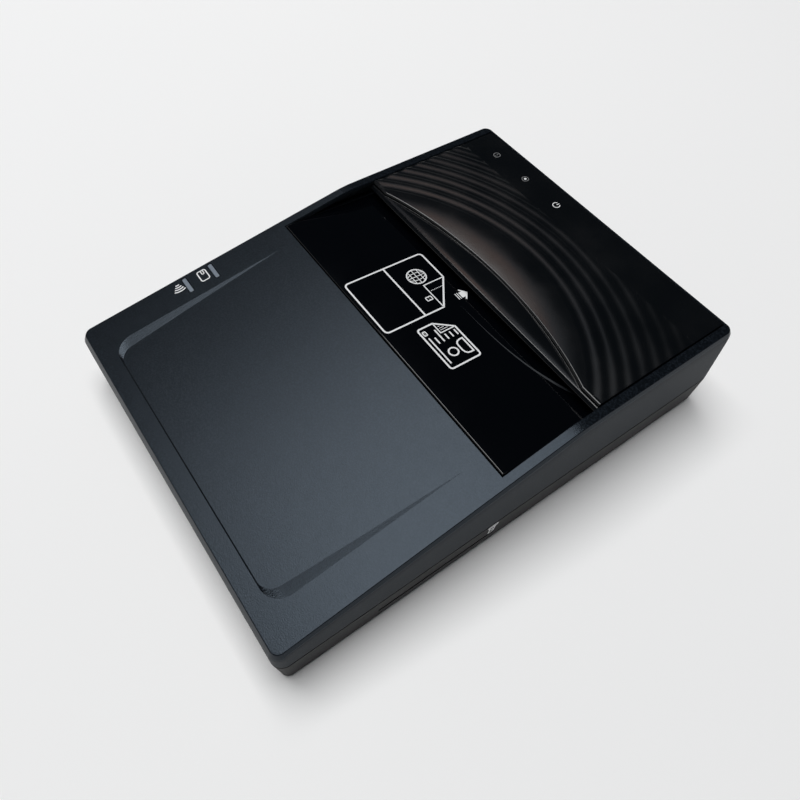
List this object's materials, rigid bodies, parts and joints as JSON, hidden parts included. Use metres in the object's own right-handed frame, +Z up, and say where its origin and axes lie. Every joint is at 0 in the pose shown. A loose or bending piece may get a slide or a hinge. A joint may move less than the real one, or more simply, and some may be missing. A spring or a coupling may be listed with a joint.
{
  "type": "passport reader",
  "caption": "Desktop passport reader: sloping dark case, black scan window, document slot under a scooped hood, chip-card slot in the side.",
  "frame": {"origin": "centre of the footprint, at the height of the feet's undersides", "axes": "+Z up, +Y from the low front edge towards the hood, +X towards the chip-card slot"},
  "size_m": [0.173, 0.229, 0.0516],
  "materials": {
    "deck_plastic": "fine moulded texture, dark grey",
    "base_plastic": "fine moulded texture, charcoal",
    "window_glass": "gloss black, printed from behind",
    "hood_plastic": "dark gloss",
    "foam": "black foam tape",
    "frosted_plastic": "frosted, translucent",
    "rubber": "matt black",
    "steel": "plain",
    "board": "green solder mask",
    "chip": "black",
    "ferrite": "dark grey sheet",
    "inner_plastic": "black, unseen inside",
    "mirror_glass": "front-silvered",
    "lens_glass": "coated"
  },
  "bodies": {
    "case": {"top_cover": "deck_plastic", "bottom_cover": "base_plastic", "scan_window": "window_glass", "document_hood": "hood_plastic", "window_tape": "foam", "error_light_guide": "frosted_plastic", "data_light_guide": "frosted_plastic", "power_light_guide": "frosted_plastic", "contactless_light_bar": "frosted_plastic", "card_light_bar": "frosted_plastic", "foot_1": "rubber", "foot_2": "rubber", "foot_3": "rubber", "foot_4": "rubber", "case_screw_1": "steel", "case_screw_2": "steel", "case_screw_3": "steel", "case_screw_4": "steel", "main_board_screw_1": "steel", "main_board_screw_2": "steel", "reader_board_screw_1": "steel", "reader_board_screw_2": "steel", "chassis_screw_1": "steel", "chassis_screw_2": "steel", "bracket_screw_1": "steel", "bracket_screw_2": "steel", "indicator_screw_1": "steel", "indicator_screw_2": "steel", "antenna_screw_1": "steel", "antenna_screw_2": "steel", "status_screw": "steel", "card_lever_pin": "steel", "document_flag_pin": "steel", "module_door_pin": "steel", "usb_socket": "steel", "shield_can": "steel", "camera_bracket": "steel", "main_board": "board", "reader_board": "board", "antenna_board": "board", "indicator_board": "board", "status_board": "board", "front_light_board": "board", "rear_light_board": "board", "camera_board": "board", "processor": "chip", "reader_chip": "chip", "buzzer": "chip", "lens_barrel": "chip", "ferrite_sheet": "ferrite", "optics_chassis": "inner_plastic", "card_connector": "inner_plastic", "module_socket": "inner_plastic", "fold_mirror": "mirror_glass", "camera_lens": "lens_glass"},
    "module_cover": {"module_door": "base_plastic"},
    "card_lever": {"card_switch_lever": "inner_plastic"},
    "flag": {"document_flag": "inner_plastic"}
  },
  "joints": [
    {"name": "module_cover_hinge", "type": "hinge", "parent": "case", "child": "module_cover", "pos_m": [-0.044, -0.0814, 0.0032], "axis": [1, 0, 0], "range_deg": [-90, 0]},
    {"name": "card_lever_pivot", "type": "hinge", "parent": "case", "child": "card_lever", "pos_m": [0.0128, -0.033, 0.0086], "axis": [0, 0, 1], "range_deg": [0, 12], "stiffness_Nm_per_rad": 0.004, "springref_deg": -5.73},
    {"name": "flag_pivot", "type": "hinge", "parent": "case", "child": "flag", "pos_m": [0.052, 0.08142, 0.0437], "axis": [0, 0, 1], "range_deg": [-25, 0], "stiffness_Nm_per_rad": 0.004, "springref_deg": 5.73}
  ]
}
